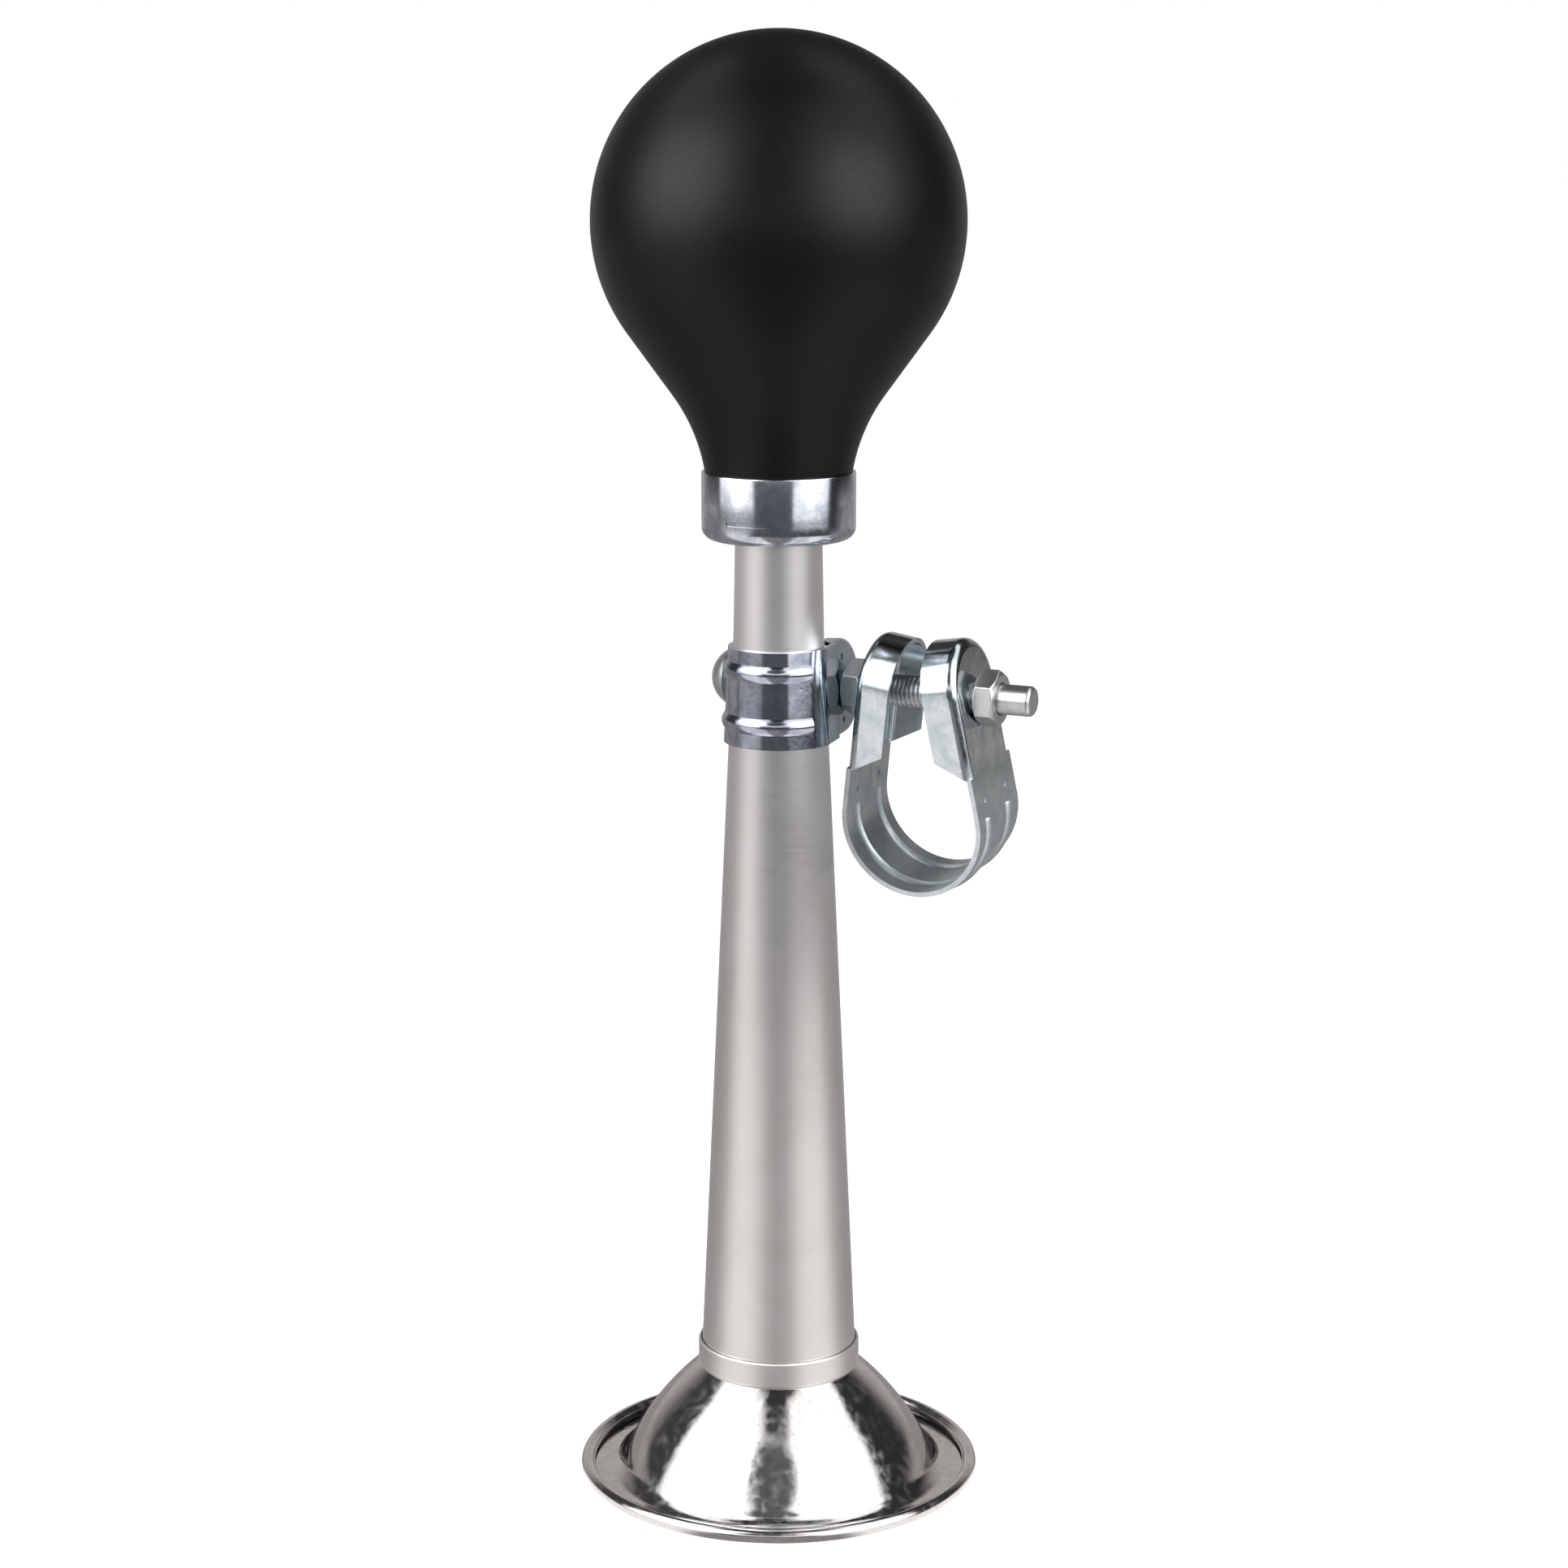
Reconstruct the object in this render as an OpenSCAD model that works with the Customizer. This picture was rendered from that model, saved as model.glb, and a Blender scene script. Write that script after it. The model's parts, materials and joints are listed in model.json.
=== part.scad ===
// Bulb horn for a bicycle: a flared bell on a tapered tube, a rubber bulb that blows a brass reed,
// and a strap clamp that holds the horn to a handlebar.
// The horn stands on its bell. The origin is the centre of the bell's standing face and +Z runs up
// the horn's axis. The clamp bolt runs along +X and the handlebar lies along Y.

/* [Bell] */
// Outer radius of the bell's rim
bell_mouth_r = 32.5; // [30:0.5:38]
// Thickness of the bell's sheet metal
bell_sheet = 0.5; // [0.4:0.05:0.8]
// Radius of the roll that stiffens the rim
rim_roll_r = 1.1; // [0.9:0.05:1.4]
// Radius of the bell's dome in section
dome_curve_r = 46.7; // [42:0.5:54]
// Radius at which the dome would meet the standing face
dome_foot_r = 26.2; // [24.5:0.1:27]
// Slope of the dome at the standing face, in degrees from level
dome_foot_slope = 67.5; // [66:0.5:70]
// Radius of the turn from the dome into the flat flange
flange_turn_r = 1.0; // [0.6:0.1:1.6]

/* [Tube] */
// Outer radius of the tube at its lower end
tube_base_r = 12.64; // [11.5:0.02:13.6]
// Outer radius of the tube where its taper ends
tube_neck_r = 7.13; // [6.9:0.01:7.5]
// Outer radius of the tube at its upper end
tube_top_r = 6.85; // [6.5:0.01:6.9]
// Thickness of the tube's wall
tube_wall = 0.5; // [0.4:0.05:0.8]
// Height of the point where the taper ends
tube_taper_z = 139; // [136:0.5:144]
// Height of the bulb collar's lower face
collar_z = 153.9; // [151:0.1:165]
// Outward thickness of the ring round the tube's lower end
ring_wall = 0.43; // [0.35:0.01:0.7]
// Height of the ring round the tube's lower end
ring_h = 3.95; // [3:0.05:6]
// Depth to which the bell's neck is plugged into the tube
bell_neck_h = 5; // [3:0.5:8]

/* [Bulb] */
// Radius of the round part of the bulb
bulb_r = 28.9; // [27:0.1:33]
// Thickness of the rubber
bulb_wall = 2.2; // [1.6:0.1:2.6]
// Height of the bulb's centre above the collar's upper edge
bulb_rise = 38.3; // [37:0.1:42]
// Angle below the bulb's equator at which its taper begins
taper_angle = 36; // [34:0.5:40]
// Radius of the hollow curve between the taper and the neck
neck_curve_r = 28; // [24:0.5:34]
// Outer radius of the collar that grips the neck
collar_r = 12.07; // [11.7:0.01:12.6]
// Height of the collar
collar_h = 10.6; // [9.5:0.1:13]
// Thickness of the collar's sheet metal
collar_sheet = 0.5; // [0.4:0.05:0.7]
// Radius of the collar's rounded lower edge
collar_edge_r = 2; // [1:0.1:2.5]

/* [Reed] */
// Radius of the ribbed spigot inside the bulb's neck
spigot_r = 8.7; // [8:0.05:9.2]
// Height of each of the spigot's ribs above its surface
spigot_rib = 0.4; // [0.2:0.05:0.6]
// Depth to which the socket is plugged into the tube
socket_plug_h = 7; // [5:0.5:10]
// Outer radius of the reed tube
shallot_r = 3.5; // [3.2:0.05:4]
// Wall of the reed tube
shallot_wall = 0.8; // [0.6:0.05:1]
// Length of the reed tube above its socket
shallot_rise = 26; // [24:0.5:30]
// Distance from the reed tube's axis to the flat that the tongue beats on
flat_y = 2.2; // [1.8:0.05:2.4]
// Width of the slot in that flat
slot_w = 2.6; // [2:0.1:2.8]
// Length of the slot
slot_len = 17; // [12:0.5:18]
// Width of the brass tongue
tongue_w = 4; // [3.5:0.1:4.4]
// Thickness of the brass tongue
tongue_t = 0.3; // [0.2:0.05:0.5]
// Angle at which the tongue stands off its flat at rest
tongue_open = 1.5; // [1:0.1:2]
// Height of the ring that holds the tongue's root
reed_ring_h = 3; // [2.5:0.1:4]
// Least wall of that ring
reed_ring_wall = 0.7; // [0.5:0.05:1]

/* [Clamp] */
// Height of the clamp bolt's axis
bolt_z = 129.4; // [126:0.1:134]
// Radius of the clamp bolt
bolt_r = 2.5; // [2.3:0.05:2.8]
// Length of the bolt from its head to its tip
bolt_len = 52; // [51:0.1:60]
// Radius of the bolt's domed head
head_r = 4.8; // [4.2:0.1:5.5]
// Height of the bolt's domed head
head_h = 3.6; // [2.4:0.1:4]
// Width across the flats of the bolt's square neck
neck_w = 4.8; // [4:0.1:5]
// Length of the square neck
neck_len = 5.4; // [3:0.1:6]
// Radius to which the square neck's corners are rounded off
neck_corner_r = 3.17; // [2.9:0.01:3.4]
// Width across the flats of both nuts
nut_af = 8; // [7.5:0.1:9]
// Thickness of both nuts
nut_h = 3.4; // [3:0.1:4.4]
// Width of the strap that holds the horn
horn_strap_w = 15.2; // [14:0.1:16]
// Thickness of the strap that holds the horn
horn_strap_t = 0.7; // [0.6:0.05:0.8]
// Angle by which each of its ears leans towards the other
horn_lean = 8; // [2:0.5:9]
// Depth of the turned edges on its ears
horn_lip = 3.2; // [3:0.1:3.4]
// Distance from the bolt forward to the start of those edges
horn_lip_run = 5; // [4:0.1:6]
// Angle at which those edges are cut off at their ends
horn_lip_slant = 52; // [30:1:55]
// Width of the strap that holds the handlebar
bar_strap_w = 15.8; // [15.4:0.1:17]
// Thickness of the strap that holds the handlebar
bar_strap_t = 0.8; // [0.7:0.05:0.9]
// Radius of the handlebar
bar_r = 11.1; // [11:0.05:11.6]
// Height of the bolt above the handlebar's axis
bar_drop = 19.7; // [19.5:0.1:22]
// Angle by which the handlebar strap is swung back from hanging straight down
strap_swing = 7.5; // [0:0.5:12]
// Angle by which each ear of the handlebar strap leans towards the other
ear_lean = 8.8; // [7:0.1:9.4]
// Height of the ears' round ends above the bolt
ear_end_rise = 1.5; // [1:0.1:2]
// Depth of the turned edges on the handlebar strap's ears
bar_lip = 5.8; // [5.4:0.1:6.4]
// Distance from the bolt down to the lower end of those edges
bar_lip_drop = 11.6; // [10:0.1:13]
// Angle at which those edges are cut off at their ends
bar_lip_slant = 34; // [25:1:45]
// Width of the stiffening ribs pressed into both straps
rib_w = 2.6; // [2:0.1:3]
// Height of the stiffening ribs
rib_h = 0.5; // [0.3:0.05:0.6]
// Distance of each rib from the middle of its strap
rib_offset = 4.1; // [3.6:0.1:4.4]
// Angle between the horn strap's side and the ends of its ribs
rib_end_angle = 26; // [20:1:40]
// Radius of the small holes beside the bolt and above the ribs' ends
pilot_hole_r = 0.5; // [0.4:0.05:0.9]

/* [Fits] */
// Clearance round pressed and soldered joints
joint_gap = 0.03; // [0.02:0.01:0.06]
// Clearance where one piece turns or slides on another
turn_gap = 0.06; // [0.04:0.01:0.1]
// Clearance between the clamp bolt and the tube
bolt_tube_gap = 0.25; // [0.2:0.05:0.5]

/* [Hidden] */
$fn = 96;

// A cut runs this far past the surface that it cuts
over = 1;

// The tube runs this far past the collar's floor, and the spigot's foot is as tall
floor_lap = 1.2;

// The spigot stops this far below the collar's upper edge
spigot_short = 0.8;

// The tongue and the slot under it each stop this far short of the end of what they lie on
tip_short = 1;

// The lower side of each rib on the spigot takes up this share of the rib's height
rib_lip_share = 0.2;

// Chamfer at the bolt's tip
tip_chamfer = 0.6;

// Both nuts are chamfered at this angle, down to a seat that takes up this share of their width
nut_chamfer = 30;
nut_seat_share = 0.95;

// The small holes in the horn strap lie this far in front of the bolt and above and below it
horn_pilot_ahead = 2;
horn_pilot_rise = 5.05;

// The small holes in the handlebar strap lie this far above the handlebar's axis
bar_pilot_rise = 4;

steel_colour = [0.76, 0.74, 0.73];
chrome_colour = [0.82, 0.81, 0.8];
zinc_colour = [0.68, 0.72, 0.76];
rubber_colour = [0.1, 0.1, 0.11];
brass_colour = [0.8, 0.66, 0.34];

// The dome is one arc, whose centre lies inside and below the bell
dome_centre = [
    dome_foot_r - dome_curve_r * sin(dome_foot_slope),
    -dome_curve_r * cos(dome_foot_slope)
];
function dome_z(r) = dome_centre[1] + sqrt(pow(dome_curve_r, 2) - pow(r - dome_centre[0], 2));

// The turn into the flange touches the dome from outside
turn_z = bell_sheet + flange_turn_r;
turn_r = dome_centre[0] + sqrt(pow(dome_curve_r + flange_turn_r, 2) - pow(turn_z - dome_centre[1], 2));
turn_slope = atan2(turn_z - dome_centre[1], turn_r - dome_centre[0]);

// The tube stands on the dome
tube_base_z = dome_z(tube_base_r - tube_wall) + joint_gap;
tube_top_z = collar_z + collar_sheet + floor_lap;
tube_slope = (tube_base_r - tube_neck_r) / (tube_taper_z - tube_base_z);
function tube_r(z) = tube_base_r - tube_slope * (z - tube_base_z);

collar_top_z = collar_z + collar_h;
collar_floor_z = collar_z + collar_sheet;
neck_r = collar_r - collar_sheet - joint_gap;

// The bulb's outline: its round part, a straight taper that touches it, and a hollow curve that
// touches the taper and ends at the collar
bulb_z = collar_top_z + bulb_rise;
taper_out = [cos(taper_angle), -sin(taper_angle)];
taper_down = [-sin(taper_angle), -cos(taper_angle)];
taper_start = [0, bulb_z] + bulb_r * taper_out;
to_neck = taper_start + neck_curve_r * taper_out - [neck_r, collar_top_z];
along = to_neck * taper_down;
taper_len = -along - sqrt(pow(along, 2) - to_neck * to_neck + pow(neck_curve_r, 2));
taper_end = taper_start + taper_len * taper_down;
neck_curve_centre = taper_end + neck_curve_r * taper_out;

// The reed stands in a socket on the tube's upper end
spigot_z = tube_top_z + joint_gap;
spigot_side_z = spigot_z + floor_lap;
spigot_top_z = collar_top_z - spigot_short;
spigot_rib_h = (spigot_top_z - spigot_side_z) / 2;
spigot_bore_r = shallot_r + joint_gap;
shallot_foot_z = tube_top_z - socket_plug_h;
shallot_top_z = spigot_top_z + shallot_rise;
reed_ring_z = spigot_top_z + joint_gap;
tongue_root_z = reed_ring_z + reed_ring_h / 2;
tongue_tip_z = shallot_top_z - tip_short;
tongue_y = flat_y + turn_gap;

// The clamp, laid out from the horn's axis along the bolt
bolt_y = tube_r(bolt_z - bolt_r) + bolt_r + bolt_tube_gap;
hole_r = bolt_r + turn_gap;
nut_seat_r = nut_af / 2 * nut_seat_share;

// The horn strap follows the tube's taper, and its ears touch its round part and lean inwards
tube_taper = atan(tube_slope);
horn_strap_r = tube_r(bolt_z) + turn_gap;
horn_outer_r = horn_strap_r + horn_strap_t;
horn_ear_x = (horn_outer_r - bolt_y * sin(horn_lean)) / cos(horn_lean);
horn_ear_s = (bolt_y - horn_outer_r * sin(horn_lean)) / cos(horn_lean);
horn_set_back = nut_seat_r * tan(horn_lean) + turn_gap;
horn_strap_bend = 1.2;
inner_nut_x = horn_ear_x + horn_set_back;
head_x = -horn_ear_x - horn_set_back - neck_len;

// The handlebar strap's walls touch its loop and lean towards each other
ear_half_gap = (bar_r - bar_drop * sin(ear_lean)) / cos(ear_lean);
wall_len = (bar_drop - bar_r * sin(ear_lean)) / cos(ear_lean);
bar_outer_r = bar_r + bar_strap_t;
lean_set_back = nut_seat_r * tan(ear_lean) + turn_gap;
bar_ear_half = ear_half_gap + bar_strap_t / cos(ear_lean);
bar_x = inner_nut_x + nut_h + lean_set_back + bar_ear_half;
outer_nut_x = bar_x + bar_ear_half + lean_set_back;
bar_bend = 1.6;
bar_end_r = bar_strap_w / 2;
rib_round_r = (pow(rib_w / 2, 2) + pow(rib_h, 2)) / (2 * rib_h);

// Where two lengths of one strap meet, the inner one is thinner by this much on every side and
// runs this far into the other
seam_step = 0.02;
seam_lap = 0.3;

// Depth to which each rib is sunk into its strap's sheet
rib_sink = 0.3;

// The groove behind each rib stops this many degrees before the rib does
groove_short = 1;

// Points along an arc from angle a to angle b, in steps equal steps
function arc(centre, r, a, b, steps) = [
    for (i = [0:steps]) centre + r * [cos(a + (b - a) * i / steps), sin(a + (b - a) * i / steps)]
];

// The side of the spigot in section, from its lower rib to its upper end, grown outwards by gap
function spigot_side(gap) = concat(
    [[spigot_r + gap, spigot_side_z]],
    [
        for (i = [0, 1], p = [[1, 0], [1, rib_lip_share], [0, 1]])
            [spigot_r + gap + p[0] * spigot_rib, spigot_side_z + (i + p[1]) * spigot_rib_h]
    ]
);

// Half of a sheet's section with its edge turned through a right angle.
// The sheet's outer face lies on the x axis and its turned edge faces outwards at x = half_w.
module turned_edge(half_w, sheet, bend, depth) {
    square([half_w - bend, sheet]);
    translate([half_w - bend, bend])
        intersection() {
            difference() {
                circle(bend);
                circle(bend - sheet);
            }
            translate([0, -bend])
                square(bend);
        }
    translate([half_w - sheet, bend])
        square([sheet, depth - bend]);
}

// The section of a channel with both edges turned up
module channel(half_w, sheet, bend, depth) {
    turned_edge(half_w, sheet, bend, depth);
    mirror([1, 0])
        turned_edge(half_w, sheet, bend, depth);
}

// One dished ear, lying flat with its outer face at z = 0, its channel along y up to the origin
// and its round end beyond. slant is the height lost by the channel's walls along their cut ends.
module dished_ear(half_w, sheet, bend, depth, len, slant) {
    difference() {
        union() {
            rotate_extrude(angle = 180)
                turned_edge(half_w, sheet, bend, depth);
            translate([0, -len, 0])
                rotate([90, 0, 180])
                    linear_extrude(len)
                        channel(half_w, sheet, bend, depth);
        }
        translate([0, -len, sheet])
            rotate([-slant, 0, 0])
                translate([-half_w - over, -2 * depth, 0])
                    cube([2 * (half_w + over), 2 * depth, 3 * depth]);
    }
}

// A pair of rounded ribs that stand on a surface of radius r round the z axis, from angle a to
// angle b. The upper one is drawn in and the lower one let out by the given slope.
module rib_pair(r, a, b, slope) {
    for (z = [-rib_offset, rib_offset])
        translate([0, 0, z])
            rotate([0, 0, a])
                rotate_extrude(angle = b - a)
                    translate([r - slope * z, 0])
                        intersection() {
                            translate([rib_h - rib_round_r, 0])
                                circle(rib_round_r);
                            translate([-rib_sink, -rib_w])
                                square([rib_sink + rib_w, 2 * rib_w]);
                        }
}

// Bell: a neck that plugs into the tube, a dome, a turn and a flat flange with a rolled rim
module bell() {
    color(chrome_colour)
        rotate_extrude()
            bell_section();
}

// The bell's sheet in section: down its upper face, round the rim and back along its lower face
module bell_section() {
    neck_foot_r = tube_r(tube_base_z) - tube_wall - joint_gap;
    neck_head_r = tube_r(tube_base_z + bell_neck_h) - tube_wall - joint_gap;
    neck_head_z = tube_base_z + bell_neck_h;
    neck_angle = acos((neck_foot_r - dome_centre[0]) / dome_curve_r);
    inner_angle = acos((neck_foot_r - bell_sheet - dome_centre[0]) / (dome_curve_r - bell_sheet));
    turn_centre = [turn_r, turn_z];
    roll_centre = [bell_mouth_r - rim_roll_r, rim_roll_r];
    polygon(concat(
        [[neck_head_r, neck_head_z]],
        arc(dome_centre, dome_curve_r, neck_angle, turn_slope, 10),
        arc(turn_centre, flange_turn_r, 180 + turn_slope, 270, 5),
        arc(roll_centre, rim_roll_r - bell_sheet, 270, 540, 12),
        arc(roll_centre, rim_roll_r, 540, 270, 12),
        arc(turn_centre, flange_turn_r + bell_sheet, 270, 180 + turn_slope, 5),
        arc(dome_centre, dome_curve_r - bell_sheet, turn_slope, inner_angle, 10),
        [[neck_head_r - bell_sheet, neck_head_z]]
    ));
}

// Ring that covers the joint of the tube and the bell
module joint_ring() {
    inner_r = tube_base_r + joint_gap;
    bevel = ring_wall / 3;
    ring_z = dome_z(inner_r) + joint_gap;
    color(steel_colour)
        translate([0, 0, ring_z])
            rotate_extrude()
                polygon([
                    [inner_r, 0],
                    [inner_r + ring_wall, 0],
                    [inner_r + ring_wall, ring_h - bevel],
                    [inner_r + ring_wall - bevel, ring_h],
                    [inner_r, ring_h]
                ]);
}

// Tapered tube, with a nearly parallel neck at its upper end
module horn_tube() {
    color(steel_colour)
        rotate_extrude()
            polygon([
                [tube_base_r - tube_wall, tube_base_z],
                [tube_base_r, tube_base_z],
                [tube_neck_r, tube_taper_z],
                [tube_top_r, collar_z],
                [tube_top_r, tube_top_z],
                [tube_top_r - tube_wall, tube_top_z],
                [tube_top_r - tube_wall, collar_z],
                [tube_neck_r - tube_wall, tube_taper_z]
            ]);
}

// Collar: a shallow cup with a rounded edge, whose floor fits round the tube
module bulb_collar() {
    hole = tube_top_r + joint_gap;
    color(zinc_colour)
        translate([0, 0, collar_z])
            rotate_extrude() {
                translate([hole, 0])
                    square([collar_r - collar_edge_r - hole, collar_sheet]);
                translate([collar_r - collar_edge_r, collar_edge_r])
                    intersection() {
                        difference() {
                            circle(collar_edge_r);
                            circle(collar_edge_r - collar_sheet);
                        }
                        translate([0, -collar_edge_r])
                            square(collar_edge_r);
                    }
                translate([collar_r - collar_sheet, collar_edge_r])
                    square([collar_sheet, collar_h - collar_edge_r]);
            }
}

// Rubber bulb, hollow, with its neck inside the collar and stretched over the spigot's ribs
module bulb() {
    neck_foot_z = collar_floor_z + collar_edge_r - collar_sheet;
    curve_end = atan2(collar_top_z - neck_curve_centre[1], neck_r - neck_curve_centre[0]);
    inner_curve_r = neck_curve_r + bulb_wall;
    inner_end = 180 - asin((collar_top_z - neck_curve_centre[1]) / inner_curve_r);
    color(rubber_colour)
        rotate_extrude()
            polygon(concat(
                arc([0, bulb_z], bulb_r, 90, -taper_angle, 28),
                arc(neck_curve_centre, neck_curve_r, 180 - taper_angle, curve_end, 8),
                [[neck_r, neck_foot_z], [spigot_r + joint_gap, neck_foot_z]],
                spigot_side(joint_gap),
                arc(neck_curve_centre, inner_curve_r, inner_end, 180 - taper_angle, 8),
                arc([0, bulb_z], bulb_r - bulb_wall, -taper_angle, 90, 28)
            ));
}

// Socket: a plug in the tube's upper end and the ribbed spigot that the bulb's neck grips
module reed_socket() {
    plug_r = tube_top_r - tube_wall - joint_gap;
    color(brass_colour)
        rotate_extrude()
            polygon(concat(
                [
                    [spigot_bore_r, shallot_foot_z],
                    [plug_r, shallot_foot_z],
                    [plug_r, spigot_z],
                    [spigot_r, spigot_z]
                ],
                spigot_side(0),
                [[spigot_bore_r, spigot_top_z]]
            ));
}

// Reed tube: closed at its top, with a slotted flat that the tongue beats on
module reed_shallot() {
    slot_z = tongue_tip_z - tip_short - slot_len;
    color(brass_colour)
        difference() {
            translate([0, 0, shallot_foot_z])
                cylinder(r = shallot_r, h = shallot_top_z - shallot_foot_z);
            translate([0, 0, shallot_foot_z - over])
                cylinder(
                    r = shallot_r - shallot_wall,
                    h = shallot_top_z - shallot_foot_z - shallot_wall + over
                );
            translate([-shallot_r, flat_y, spigot_top_z])
                cube([2 * shallot_r, shallot_r, shallot_top_z - spigot_top_z + over]);
            translate([-slot_w / 2, 0, slot_z])
                cube([slot_w, shallot_r, slot_len]);
        }
}

// Ring that holds the tongue's root against the reed tube
module reed_ring() {
    root_room = tongue_y + tongue_t + turn_gap;
    ring_r = norm([root_room, tongue_w / 2 + turn_gap]) + reed_ring_wall;
    color(brass_colour)
        translate([0, 0, reed_ring_z])
            linear_extrude(reed_ring_h)
                difference() {
                    circle(max(ring_r, shallot_r + reed_ring_wall));
                    difference() {
                        circle(shallot_r + joint_gap);
                        translate([-shallot_r - over, flat_y + joint_gap])
                            square([2 * (shallot_r + over), shallot_r]);
                    }
                    translate([-tongue_w / 2 - turn_gap, 0])
                        square([tongue_w + 2 * turn_gap, root_room]);
                }
}

// Tongue: a thin blade that stands a little off its flat and springs back when it is blown shut
module reed_tongue() {
    root_len = tongue_root_z - reed_ring_z - turn_gap;
    color(brass_colour)
        translate([0, tongue_y, tongue_root_z])
            rotate([-tongue_open, 0, 0])
                translate([-tongue_w / 2, 0, -root_len])
                    cube([tongue_w, tongue_t, tongue_tip_z - tongue_root_z + root_len]);
}

// Section of the strap that holds the horn, centred on the bolt's height, smaller by inset
module horn_strap_section(inset) {
    half_w = horn_strap_w / 2;
    draw_in = half_w * tube_slope;
    polygon([
        [horn_strap_r + draw_in + inset, inset - half_w],
        [horn_outer_r + draw_in - inset, inset - half_w],
        [horn_outer_r - draw_in - inset, half_w - inset],
        [horn_strap_r - draw_in + inset, half_w - inset]
    ]);
}

// One wall of the horn strap with its ear, on the side of +X
module horn_wall() {
    wall_len = horn_ear_s - horn_lip_run + seam_lap;
    rotate([0, 0, horn_lean]) {
        translate([0, wall_len, 0])
            rotate([90, 0, 0])
                linear_extrude(wall_len + seam_lap)
                    horn_strap_section(seam_step);
        translate([horn_outer_r, horn_ear_s, 0])
            rotate([0, -90 - tube_taper, 0])
                dished_ear(
                    horn_strap_w / 2, horn_strap_t, horn_strap_bend, horn_lip,
                    horn_lip_run, horn_lip_slant
                );
    }
}

// Strap that holds the horn: round the front of the tube and back to an ear on each side
module horn_strap() {
    color(zinc_colour)
        translate([0, 0, bolt_z])
            difference() {
                union() {
                    rotate([0, 0, 180 - horn_lean])
                        rotate_extrude(angle = 180 + 2 * horn_lean)
                            horn_strap_section(0);
                    for (side = [0, 1])
                        mirror([side, 0, 0])
                            horn_wall();
                    rib_pair(horn_outer_r, 180 + rib_end_angle, 360 - rib_end_angle, tube_slope);
                }
                rib_pair(
                    horn_strap_r,
                    180 + rib_end_angle + groove_short,
                    360 - rib_end_angle - groove_short,
                    tube_slope
                );
                translate([-horn_outer_r - over, bolt_y, 0])
                    rotate([0, 90, 0])
                        cylinder(r = hole_r, h = 2 * (horn_outer_r + over));
                for (z = [-horn_pilot_rise, horn_pilot_rise])
                    translate([-horn_outer_r - over, bolt_y - horn_pilot_ahead, z])
                        rotate([0, 90, 0])
                            cylinder(r = pilot_hole_r, h = 2 * (horn_outer_r + over));
            }
}

// Clamp bolt: a domed head on a square neck, and a shank with a chamfered tip
module clamp_bolt() {
    dome_r = (pow(head_r, 2) + pow(head_h, 2)) / (2 * head_h);
    color(zinc_colour)
        translate([head_x, bolt_y, bolt_z])
            rotate([0, 90, 0]) {
                intersection() {
                    translate([0, 0, dome_r - head_h])
                        sphere(dome_r);
                    translate([0, 0, -head_h - over])
                        cylinder(r = head_r + over, h = head_h + over);
                }
                intersection() {
                    translate([-neck_w / 2, -neck_w / 2, 0])
                        cube([neck_w, neck_w, neck_len]);
                    cylinder(r = neck_corner_r, h = neck_len);
                }
                cylinder(r = bolt_r, h = bolt_len - tip_chamfer);
                translate([0, 0, bolt_len - tip_chamfer])
                    cylinder(r1 = bolt_r, r2 = bolt_r - tip_chamfer, h = tip_chamfer);
            }
}

// Hexagon nut with both faces chamfered, from the plane x = 0 along +X
module hex_nut() {
    corner_r = nut_af / 2 / cos(180 / 6);
    far_r = nut_seat_r + nut_h / tan(nut_chamfer);
    color(zinc_colour)
        rotate([0, 90, 0])
            difference() {
                intersection() {
                    cylinder(r = corner_r, h = nut_h, $fn = 6);
                    cylinder(r1 = nut_seat_r, r2 = far_r, h = nut_h);
                    translate([0, 0, nut_h])
                        mirror([0, 0, 1])
                            cylinder(r1 = nut_seat_r, r2 = far_r, h = nut_h);
                }
                translate([0, 0, -over])
                    cylinder(r = hole_r, h = nut_h + 2 * over);
            }
}

// Nut that locks the bolt to the horn strap
module inner_nut() {
    translate([inner_nut_x, bolt_y, bolt_z])
        hex_nut();
}

// Nut that draws the handlebar strap shut
module outer_nut() {
    translate([outer_nut_x, bolt_y, bolt_z])
        hex_nut();
}

// One wall of the handlebar strap with its ear, on the side of +X of the handlebar's axis
module bar_wall() {
    ear_s = wall_len + ear_end_rise;
    channel_len = ear_end_rise + bar_lip_drop;
    rotate([0, -ear_lean, 0]) {
        translate([bar_r + seam_step, seam_step - bar_end_r, -seam_lap])
            cube([
                bar_strap_t - 2 * seam_step,
                bar_strap_w - 2 * seam_step,
                ear_s - channel_len + 2 * seam_lap
            ]);
        translate([bar_outer_r, 0, ear_s])
            rotate([0, -90, 0])
                rotate([0, 0, -90])
                    dished_ear(bar_end_r, bar_strap_t, bar_bend, bar_lip, channel_len, bar_lip_slant);
    }
}

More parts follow.
